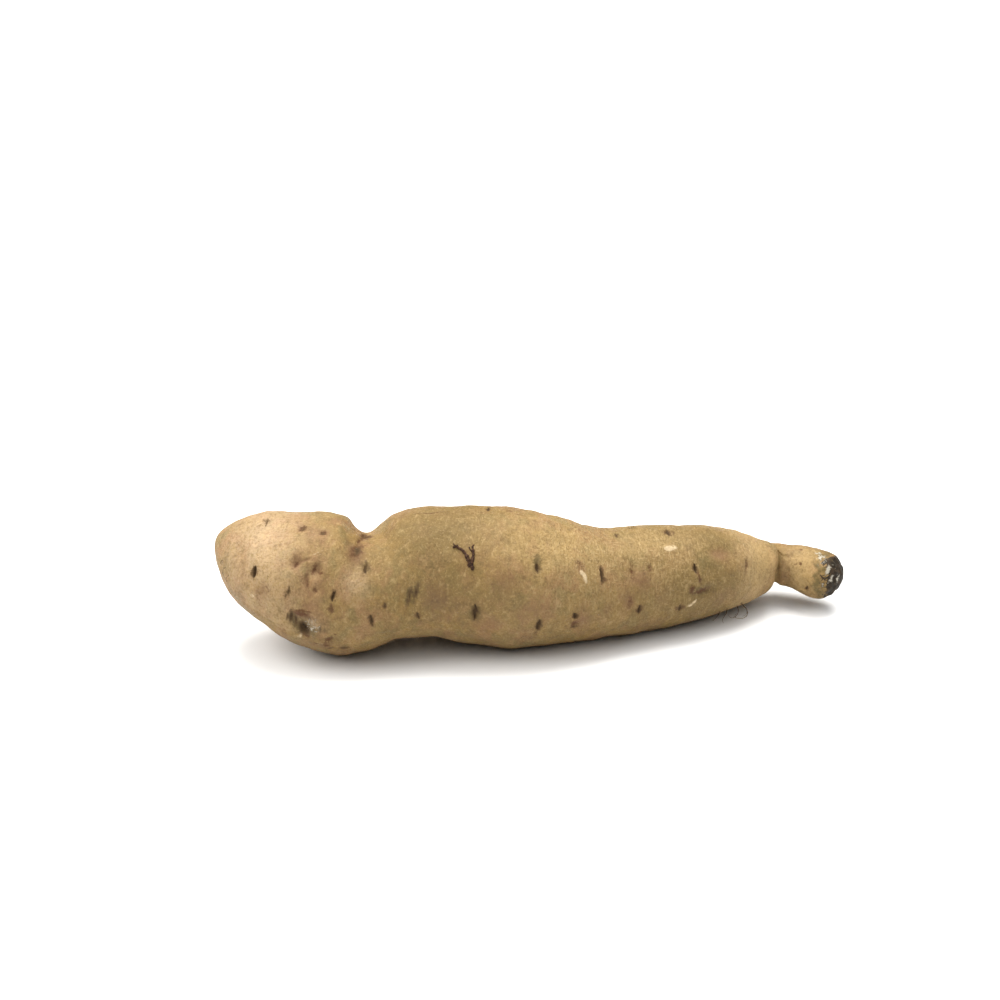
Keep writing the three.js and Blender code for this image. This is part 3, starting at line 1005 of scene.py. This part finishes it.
# %% The fibre grain group
# sizes along each axis are in millimetres, and turns in degrees
STREAK_SIZE = (1.3, 3.4, 3.4)
BENT_STREAK_SIZE = (1.0, 2.6, 2.6)
BENT_STREAK_TURN = (0, 24, 24)
FLECK_SIZE = (0.7, 0.85, 0.85)
THREADS = [
    ((0.7, 2.8, 2.8), (0, 18, 14)),
    ((0.7, 2.4, 2.4), (0, -32, -28)),
    ((2.6, 0.8, 0.8), (0, -28, 24)),
]
THREAD_EDGE = (0.52, 0.74)
STRAIGHT_SHARE = 0.6
BENT_SHARE = 0.4
STREAK_HEIGHT = 0.6
FLECK_HEIGHT = 0.5

grain_group = new_group(
    "fibre_grain", [("Size", 1.0), ("Wildness", 0.5)], ["Streaks", "Flecks", "Threads", "Height"]
)
desk = Desk(grain_group)
grain_in = desk.add("NodeGroupInput").outputs
fineness = desk.math("DIVIDE", 1.0, grain_in["Size"])
streaks = desk.noise(desk.place(STREAK_SIZE), fineness, 4.0)
bent_streaks = desk.noise(desk.place(BENT_STREAK_SIZE, BENT_STREAK_TURN), fineness, 3.0)
flecks = desk.noise(desk.place(FLECK_SIZE), fineness, 2.0, grain_in["Wildness"])
threads = 0.0
for size, turn in THREADS:
    fibre = desk.noise(desk.place(size, turn), fineness, 2.0)
    threads = desk.math("MAXIMUM", threads, desk.step(fibre, *THREAD_EDGE))
grain_out = desk.add("NodeGroupOutput").inputs
bent_part = desk.math("MULTIPLY", bent_streaks, BENT_SHARE)
desk.feed(grain_out["Streaks"], desk.math("MULTIPLY_ADD", streaks, STRAIGHT_SHARE, bent_part))
desk.feed(grain_out["Flecks"], flecks)
desk.feed(grain_out["Threads"], threads)
fleck_height = desk.math("MULTIPLY", flecks, FLECK_HEIGHT)
desk.feed(grain_out["Height"], desk.math("MULTIPLY_ADD", streaks, STREAK_HEIGHT, fleck_height))
print("outputs:", [socket.name for socket in grain_out if socket.name])

# %% [markdown]
# "earth_dust" is dried soil. It lies in clouds, which are noise again, and it is thicker where
# the surface faces down, since that side lay longest in the ground. Geometry tells which way
# the surface faces, so the same group works on any piece.

# %% The earth dust group
UNDERSIDE_DUST = 0.22
DOWNWARD_RANGE = (-0.25, 0.9)
DUST_EDGE = (0.5, 0.78)

dust_group = new_group("earth_dust", [("Amount", 0.5), ("Size", 4.0)], ["Mask"])
desk = Desk(dust_group)
dust_in = desk.add("NodeGroupInput").outputs
facing = desk.add("ShaderNodeSeparateXYZ", Vector=desk.add("ShaderNodeNewGeometry").outputs["Normal"])
downward = desk.step(desk.math("MULTIPLY", facing.outputs["Z"], -1.0), *DOWNWARD_RANGE)
clouds = desk.noise(desk.place((1, 1, 1)), desk.math("DIVIDE", 1.0, dust_in["Size"]), 5.0, 0.65)
gathered = desk.math("MULTIPLY_ADD", downward, UNDERSIDE_DUST, clouds)
dust_out = desk.add("NodeGroupOutput").inputs
dusty = desk.step(gathered, *DUST_EDGE)
desk.feed(dust_out["Mask"], desk.math("MULTIPLY", dusty, dust_in["Amount"]))
print("outputs:", [socket.name for socket in dust_out if socket.name])

# %% [markdown]
# These are the skin's colours, as the shader takes them: red, green and blue from 0 to 1. They
# look darker here than on the finished root, because lamps this strong brighten them.

# %% The skin's colours
TAN = (0.235, 0.155, 0.060)
OCHRE = (0.255, 0.158, 0.053)
PINK_TAN = (0.255, 0.143, 0.066)
OLIVE_TAN = (0.182, 0.131, 0.050)
SHADE = (0.105, 0.062, 0.024)
# UMBER, BLUSH and RUST also serve as painted shade in creases and on the body's top and front; BLOOM and
# STRAW also serve as painted light on the lobe's top, the shoulder and the knob
UMBER = (0.160, 0.106, 0.034)
PALE = (0.45, 0.318, 0.152)
BLOOM = (0.50, 0.355, 0.220)
STRAW = (0.40, 0.268, 0.108)
BLUSH = (0.165, 0.086, 0.043)
RUST = (0.074, 0.028, 0.010)
MOSS = (0.082, 0.064, 0.022)
DIRT = (0.070, 0.051, 0.024)
CREAM = (0.58, 0.45, 0.28)
BARK = (0.098, 0.058, 0.024)
CORK = (0.044, 0.025, 0.010)
BLACK = (0.010, 0.008, 0.006)
CHAR_BROWN = (0.040, 0.026, 0.016)
MOULD_WHITE = (0.46, 0.42, 0.34)
print("darkest and palest:", BLACK, CREAM)

# %% [markdown]
# Every finish starts from a Principled BSDF, the shader that suits most surfaces. Three helpers
# keep the finishes short. The first makes a material and the second places a group in it. The
# third breaks up a stain's soft patch with noise before it is used as a mask, which gives it a
# ragged edge finer than the mesh could hold.

# %% Tools for finishes
def new_material(name):
    """A material with a Principled BSDF, and the desk to build it on."""
    made = bpy.data.materials.new(name)
    made.use_nodes = True
    return made, made.node_tree.nodes["Principled BSDF"], Desk(made.node_tree)


def use_group(desk, group, **inputs):
    """Places a group with these values on its inputs, and gives its outputs."""
    node = desk.add("ShaderNodeGroup", [("node_tree", group)])
    for name, value in inputs.items():
        desk.feed(node.inputs[name], value)
    return node.outputs


def ragged(desk, name, noise_value, spread, start, end):
    """A stain's mask with its edge broken up by noise."""
    centred = desk.math("SUBTRACT", noise_value, 0.5)
    shifted = desk.math("MULTIPLY_ADD", centred, spread, desk.stained(name))
    return desk.step(shifted, start, end)


print("tools for finishes:", [tool.__name__ for tool in (new_material, use_group, ragged)])

# %% [markdown]
# The skin varies at several sizes at once, and each size has a noise of its own: a slow drift
# over centimetres, patches and blotches of about one, mottling of a few millimetres, and crumbs
# and ragged edges of one or two. A single noise with more detail would look the same everywhere.
# Most are turned their own way, so that they don't line up.

# %% The noises in the skin's finish
skin_finish, skin_surface, desk = new_material("tan_root_skin")
grain = use_group(desk, grain_group, Size=1.0, Wildness=0.6)
dust = use_group(desk, dust_group, Amount=0.55, Size=5.0)
drift = desk.noise(desk.place((34, 26, 26)), 1.0, 3.0)
blotch = desk.noise(desk.place((7, 8, 8), (10, 20, 30)), 1.0, 5.0, 0.62)
patchy = desk.noise(desk.place((9, 11, 11), (40, 10, 0)), 1.0, 5.0, 0.62)
crumbs = desk.noise(desk.place((1.1, 1.1, 1.1)), 1.0, 3.0, 0.7)
mottle = desk.noise(desk.place((2.6, 2.9, 2.9), (25, 60, 10)), 1.0, 4.0, 0.65)
edges = desk.noise(desk.place((1.6, 1.6, 1.6), (15, 5, 50)), 1.0, 4.0, 0.7)
cracked = desk.math("MULTIPLY_ADD", crumbs, 0.45, desk.math("MULTIPLY", edges, 0.55))
scorched = desk.mix(desk.step(mottle, 0.45, 0.62), BLACK, CHAR_BROWN)
print("nodes before any layer of colour:", len(skin_finish.node_tree.nodes))

# %% [markdown]
# The skin's colour is built up as it is on the root: a warm tan that drifts to ochre and to pink,
# then the grain, then the stains, and last the charred tail and its mould. Some stains also paint
# shade into creases and over the body's top and front, and light onto the lobe, the shoulder and
# the knob. A list of layers is used because their order matters, and in a list it can be seen and
# changed at once.

# %% The skin's colour, layer by layer
# mask, strength, colour; each layer covers the ones above it in this list
layers = [
    (desk.step(drift, 0.38, 0.62), 1.0, OCHRE),
    (desk.step(patchy, 0.44, 0.62), 0.8, PINK_TAN),
    (desk.step(blotch, 0.48, 0.66), 0.8, OLIVE_TAN),
    # these two darken the tan as painted shade, as well as a deeper tone, where the umber patches lie on
    # the body's top and front
    (desk.stained("umber"), 0.85, UMBER),
    (desk.stained("umber"), 0.2, SHADE),
    # these two paint light on the lobe's top, the shoulder and the knob, as well as paler and yellower
    # skin
    (desk.math("MULTIPLY", desk.stained("bloom"), desk.step(crumbs, 0.15, 0.62)), 0.8, BLOOM),
    (desk.math("MULTIPLY", desk.stained("straw"), desk.step(crumbs, 0.15, 0.62)), 0.75, STRAW),
    (desk.step(grain["Streaks"], 0.50, 0.68), 0.27, SHADE),
    (desk.step(grain["Streaks"], 0.46, 0.32), 0.18, PALE),
    (desk.step(mottle, 0.52, 0.70), 0.4, SHADE),
    (desk.step(mottle, 0.46, 0.30), 0.3, PALE),
    (desk.step(grain["Flecks"], 0.52, 0.70), 0.32, SHADE),
    (desk.step(grain["Flecks"], 0.46, 0.28), 0.24, PALE),
    (desk.math("MULTIPLY", grain["Threads"], desk.stained("scuff")), 0.7, PALE),
    # also painted shade in the lobe's valley and the crease at the knob's neck, as well as bruises
    (ragged(desk, "blush", edges, 0.8, 0.1, 0.8), 0.72, BLUSH),
    (ragged(desk, "moss", edges, 1.3, 0.15, 0.95), 0.75, MOSS),
    (ragged(desk, "dirt", edges, 1.0, 0.15, 0.85), 0.72, DIRT),
    (dust["Mask"], 0.45, DIRT),
    # also painted shade in the waist fold, the lobe's valley and the crease at the knob's neck, as well
    # as rust
    (ragged(desk, "rust", edges, 1.6, 0.25, 0.85), 0.85, RUST),
    (ragged(desk, "peel", edges, 1.5, 0.3, 0.8), 0.8, CREAM),
    (ragged(desk, "cork", edges, 0.6, 0.06, 0.32), 0.85, BARK),
    (ragged(desk, "cork", edges, 0.6, 0.2, 0.58), 0.92, CORK),
    (ragged(desk, "stub", cracked, 2.8, 0.38, 0.7), 0.95, scorched),
    (ragged(desk, "mould", cracked, 3.6, 0.5, 0.95), 0.85, MOULD_WHITE),
]
colour = TAN
for mask, strength, tone in layers:
    colour = desk.mix(desk.math("MULTIPLY", mask, strength), colour, tone)
desk.feed(skin_surface.inputs["Base Color"], colour)
print("layers of colour:", len(layers))

# %% [markdown]
# Dry skin is dull, and cork is duller still. Relief finer than the mesh, pimples and scratches,
# goes into a Bump node. It bends the light but not the outline, which is enough at this size.

# %% The skin's sheen and finest relief
SKIN_SPECULAR = 0.14
SKIN_ROUGHNESS = 0.45
FLECK_ROUGHNESS = 0.3
CORK_ROUGHNESS = 0.3
MOTTLE_RELIEF = 1.1
CRUMB_RELIEF = 0.5
SCRATCH_RELIEF = 0.4
PIMPLE_DEPTH = 0.5 * MM
PIMPLE_STRENGTH = 0.8

sheen = desk.math("MULTIPLY_ADD", grain["Flecks"], FLECK_ROUGHNESS, SKIN_ROUGHNESS)
dullness = desk.math("MULTIPLY_ADD", desk.stained("cork"), CORK_ROUGHNESS, sheen)
desk.feed(skin_surface.inputs["Roughness"], dullness)
crumbly = desk.math("MULTIPLY_ADD", crumbs, CRUMB_RELIEF, grain["Height"])
pimples = desk.math("MULTIPLY_ADD", mottle, MOTTLE_RELIEF, crumbly)
scratches = desk.math("MULTIPLY", grain["Threads"], desk.stained("scuff"))
ridges = desk.math("MULTIPLY_ADD", scratches, SCRATCH_RELIEF, pimples)
relief = desk.add("ShaderNodeBump", Height=ridges)
relief.inputs["Distance"].default_value = PIMPLE_DEPTH
relief.inputs["Strength"].default_value = PIMPLE_STRENGTH
desk.feed(skin_surface.inputs["Normal"], relief.outputs[0])
skin_surface.inputs["Specular IOR Level"].default_value = SKIN_SPECULAR
print("nodes in the skin's finish:", len(skin_finish.node_tree.nodes))

# %% [markdown]
# The skin is the whole solid's new outside, so it is shown in place of the solid's only node.
# The solid itself stays as it was, for its weight and for what it rests on.

# %% The skin in place
def finish_piece(piece, material):
    """Gives a piece its finish and fixes it to the root."""
    piece.data.materials.append(material)
    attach(piece, "root")
    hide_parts(NODE)


root_skin = add_object("root_skin", skin_mesh)
finish_piece(root_skin, skin_finish)
print("skin piece:", root_skin.name)

# %% [markdown]
# Fine side roots dry on the skin as thin, dark, twisted strands. They could be curves with a
# bevel, but a tube made ring by ring can thin out towards its tip and swell at its base, and it
# is a plain mesh from the start. A strand is given by a few points, and a smooth path is drawn
# through them.

# %% Tools for strands
PATH_STEPS = 6
RING_SIDES = 7
HANDLE_PARTS = 6
KNOTS_PER_MM = 1.7
FIRST_SIDE = Vector((0.3, 0.5, 0.8))


def smooth_path(points):
    """Points close together on one smooth curve through the given ones."""
    path = [points[0]]
    for index in range(len(points) - 1):
        start, end = points[index], points[index + 1]
        before = points[max(index - 1, 0)]
        after = points[min(index + 2, len(points) - 1)]
        leave = start + (end - before) / HANDLE_PARTS
        arrive = end - (after - start) / HANDLE_PARTS
        path += interpolate_bezier(start, leave, arrive, end, PATH_STEPS)[1:]
    return path


def add_tube(work, path, radius, tip, knotty):
    """Adds a closed, knotty tube that thins from radius to tip, in millimetres."""
    side = FIRST_SIDE
    rings = []
    for index, point in enumerate(path):
        ahead = (path[min(index + 1, len(path) - 1)] - path[max(index - 1, 0)]).normalized()
        side = (side - ahead * side.dot(ahead)).normalized()
        up = ahead.cross(side)
        share = index / (len(path) - 1)
        knot = 1 + knotty * noise.noise(point * KNOTS_PER_MM)
        width = (radius + (tip - radius) * share) * knot
        ring = []
        for corner in range(RING_SIDES):
            turn = 2 * math.pi * corner / RING_SIDES
            offset = side * math.cos(turn) + up * math.sin(turn)
            place = point + offset * width
            place.z = max(place.z, 0.0)
            ring.append(work.verts.new(place * MM))
        rings.append(ring)
    for one, two in zip(rings, rings[1:]):
        for corner in range(RING_SIDES):
            after = (corner + 1) % RING_SIDES
            work.faces.new((one[corner], one[after], two[after], two[corner]))
    work.faces.new(list(reversed(rings[0])))
    work.faces.new(rings[-1])


def made_mesh(name, work):
    """The finished mesh, smooth, with all its faces turned outwards."""
    mesh = bpy.data.meshes.new(name)
    bmesh.ops.recalc_face_normals(work, faces=work.faces)
    work.to_mesh(mesh)
    work.free()
    mesh.shade_smooth()
    return mesh


def over_skin(x, around, height):
    """A point this far out of the skin, in millimetres."""
    point, normal = spot(x, around)
    return point + normal * height


print("sides of a strand:", RING_SIDES)

# %% [markdown]
# The largest dried rootlet is a dark fork flattened on the front of the body. Its foot sits in a
# small pit, and its two arms run up the skin. Their finish is the fibre grain again, darker.

# %% The dried rootlet
ROOTLET_DARK = (0.016, 0.007, 0.004)
ROOTLET_LIGHT = (0.075, 0.034, 0.015)
# (x, around, height out of the skin) for each point, then the radii at the foot and the tip
FORK_ARMS = [
    ([
        (-28.6, 57, 0.0), (-29.0, 54, 0.5), (-29.5, 50.5, 0.6), (-30.3, 47, 0.4),
        (-31.4, 44, 0.5), (-33.2, 42, 0.4), (-34.6, 41.6, 0.2),
    ], 0.85, 0.38),
    ([
        (-28.4, 57, 0.2), (-27.9, 53, 0.6), (-27.4, 49, 0.5),
        (-27.2, 45, 0.6), (-27.5, 41.5, 0.4), (-26.8, 39, 0.3),
    ], 0.8, 0.28),
    ([(-31.2, 44, 0.4), (-32.6, 42.4, 0.7), (-33.0, 40, 0.4)], 0.5, 0.25),
    ([(-32.4, 42.8, 0.3), (-34.0, 40.4, 0.7), (-34.2, 38.4, 0.4)], 0.35, 0.15),
    ([(-27.3, 46, 0.5), (-28.4, 43.5, 0.7), (-28.7, 41.5, 0.4)], 0.4, 0.2),
    ([(-28.8, 55, 0.4), (-27.9, 57.6, 0.7), (-27.9, 59.2, 0.1)], 0.95, 0.5),
]
ROOTLET_KNOTS = 0.5
FIBRE_DEPTH = 0.15 * MM
FIBRE_SPECULAR = 0.15


def strand_finish(name, dark, light):
    """Dry root fibre: the grain drives its colour and its roughness."""
    made, surface, desk = new_material(name)
    grain = use_group(desk, grain_group, Size=0.5, Wildness=0.7)
    dust = use_group(desk, dust_group, Amount=0.5, Size=1.5)
    colour = desk.mix(desk.step(grain["Flecks"], 0.38, 0.66), dark, light)
    colour = desk.mix(desk.math("MULTIPLY", dust["Mask"], 0.5), colour, DIRT)
    desk.feed(surface.inputs["Base Color"], colour)
    desk.feed(surface.inputs["Roughness"], desk.math("MULTIPLY_ADD", grain["Streaks"], 0.3, 0.55))
    relief = desk.add("ShaderNodeBump", Height=grain["Height"])
    relief.inputs["Distance"].default_value = FIBRE_DEPTH
    desk.feed(surface.inputs["Normal"], relief.outputs[0])
    surface.inputs["Specular IOR Level"].default_value = FIBRE_SPECULAR
    return made


work = bmesh.new()
for places, radius, tip in FORK_ARMS:
    path = smooth_path([over_skin(*place) for place in places])
    add_tube(work, path, radius, tip, ROOTLET_KNOTS)
dried_rootlet = add_object("dried_rootlet", made_mesh("dried_rootlet", work))
finish_piece(dried_rootlet, strand_finish("dark_rootlet", ROOTLET_DARK, ROOTLET_LIGHT))
print("rootlet faces:", len(dried_rootlet.data.polygons))

# %% [markdown]
# Root hairs are finer still: a curl of them hangs under the tail end, a small tuft stands on the
# top edge, and a few cling to the crown. Each is listed as a foot on the skin and steps from it in
# millimetres, so that the curls fall as real ones do and lie on the sheet.

# %% The root hairs
HAIR_DARK = (0.055, 0.036, 0.022)
HAIR_LIGHT = (0.22, 0.155, 0.09)
# foot (x, around), then steps (x, y, z), then the radius at the foot
TAIL_HAIRS = [
    ((80, 126), [
        (1.2, -1.6, -1.6), (2.8, -3.4, -3.0), (3.2, -5.8, -5.0), (1.8, -7.8, -6.6),
        (-1.2, -8.8, -7.4), (-4.2, -8.4, -7.6), (-5.8, -6.8, -7.2), (-5.2, -5.0, -6.0),
    ], 0.2),
    ((79.5, 127), [
        (1.8, -0.8, -1.0), (3.6, -2.2, -2.6), (4.0, -4.4, -4.6),
        (2.6, -6.0, -6.0), (0.4, -6.2, -6.8),
    ], 0.15),
    ((78, 128), [
        (0.6, -1.6, -1.6), (0.2, -4.0, -3.4), (-1.6, -6.2, -5.0), (-4.0, -6.8, -6.0),
        (-5.8, -5.8, -6.2), (-6.6, -4.0, -5.6),
    ], 0.14),
    ((74, 130), [(-1.2, -2.2, -2.0), (-3.0, -4.0, -3.4), (-4.8, -6.4, -5.0), (-4.6, -8.8, -6.2)], 0.12),
    ((71, 131), [(-1.8, -1.6, -1.6), (-4.0, -3.4, -2.8), (-6.4, -4.6, -4.4)], 0.11),
]
CROWN_HAIRS = [
    ((-119, 62), [(-1.0, -0.8, 0.0), (-1.6, -1.4, -1.2), (-1.4, -1.8, -2.6)], 0.12),
    ((-118, 74), [(-1.2, -0.6, -0.2), (-2.0, -1.2, -1.6), (-2.0, -1.4, -3.4), (-1.4, -1.4, -4.6)], 0.12),
    ((-117, 84), [(-1.0, -0.8, -0.8), (-1.6, -1.2, -2.4), (-1.0, -1.4, -4.2)], 0.1),
]
TOP_HAIRS = [
    ((36, -8), [(-0.3, 0.0, 1.0), (-0.9, 0.2, 1.8)], 0.12),
    ((36.4, -9), [(0.3, 0.0, 1.1), (0.2, 0.3, 2.2)], 0.12),
    ((36.8, -8), [(0.7, 0.0, 0.7), (1.6, 0.2, 1.2)], 0.10),
    ((35.4, -9), [(-0.9, 0.0, 0.5), (-1.7, 0.1, 0.5)], 0.10),
]
HAIR_TIP = 0.06
HAIR_KNOTS = 0.25
FOOT_DEPTH = 0.3
CURL_SIZE = 0.56
FLOOR_GAP = 0.1


def hair_piece(name, hairs, material):
    """All the hairs of one curl or tuft as one piece."""
    work = bmesh.new()
    for foot, steps, radius in hairs:
        base, normal = spot(*foot)
        points = [base - normal * FOOT_DEPTH] + [base + Vector(step) * CURL_SIZE for step in steps]
        for point in points:
            point.x = min(max(point.x, lowest[0] + radius), highest[0] - radius)
            point.y = max(point.y, lowest[1] + radius)
            point.z = min(max(point.z, FLOOR_GAP), highest[2] - radius)
        add_tube(work, smooth_path(points), radius, HAIR_TIP, HAIR_KNOTS)
    piece = add_object(name, made_mesh(name, work))
    finish_piece(piece, material)
    return piece


hair_finish = strand_finish("root_hair", HAIR_DARK, HAIR_LIGHT)
TUFTS = {"tail_hairs": TAIL_HAIRS, "crown_hairs": CROWN_HAIRS, "top_tuft": TOP_HAIRS}
for name, hairs in TUFTS.items():
    piece = hair_piece(name, hairs, hair_finish)
    print(name, "faces:", len(piece.data.polygons))

# %% [markdown]
